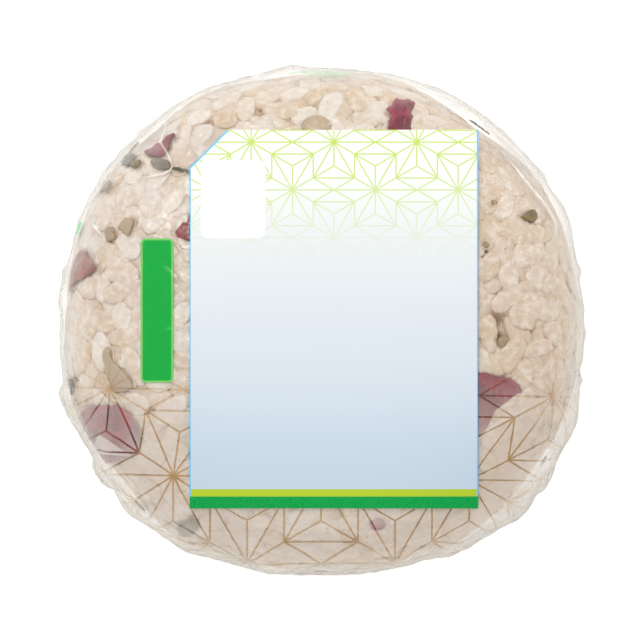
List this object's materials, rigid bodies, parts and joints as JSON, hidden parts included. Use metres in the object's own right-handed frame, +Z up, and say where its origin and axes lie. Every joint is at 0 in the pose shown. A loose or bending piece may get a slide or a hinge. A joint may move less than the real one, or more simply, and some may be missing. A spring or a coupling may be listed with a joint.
{
  "type": "onigiri rice ball in clear film",
  "caption": "Round puck-shaped rice ball mixed with plum and seaweed pieces, packed tight in clear film, with a bent paper label on its front face.",
  "frame": {"origin": "centre of the bounding box's bottom, on the folded back layers that the pack rests on", "axes": "+Z up through the label's middle, +Y towards the label's top edge, +X towards the label's right edge"},
  "size_m": [0.0792, 0.0758, 0.036],
  "materials": {
    "rice_in_film": "pressed cooked rice behind tight clear film",
    "label_paper": "smooth printed sticker"
  },
  "bodies": {
    "root": {"rice_pack": "rice_in_film", "label": "label_paper"}
  },
  "joints": []
}
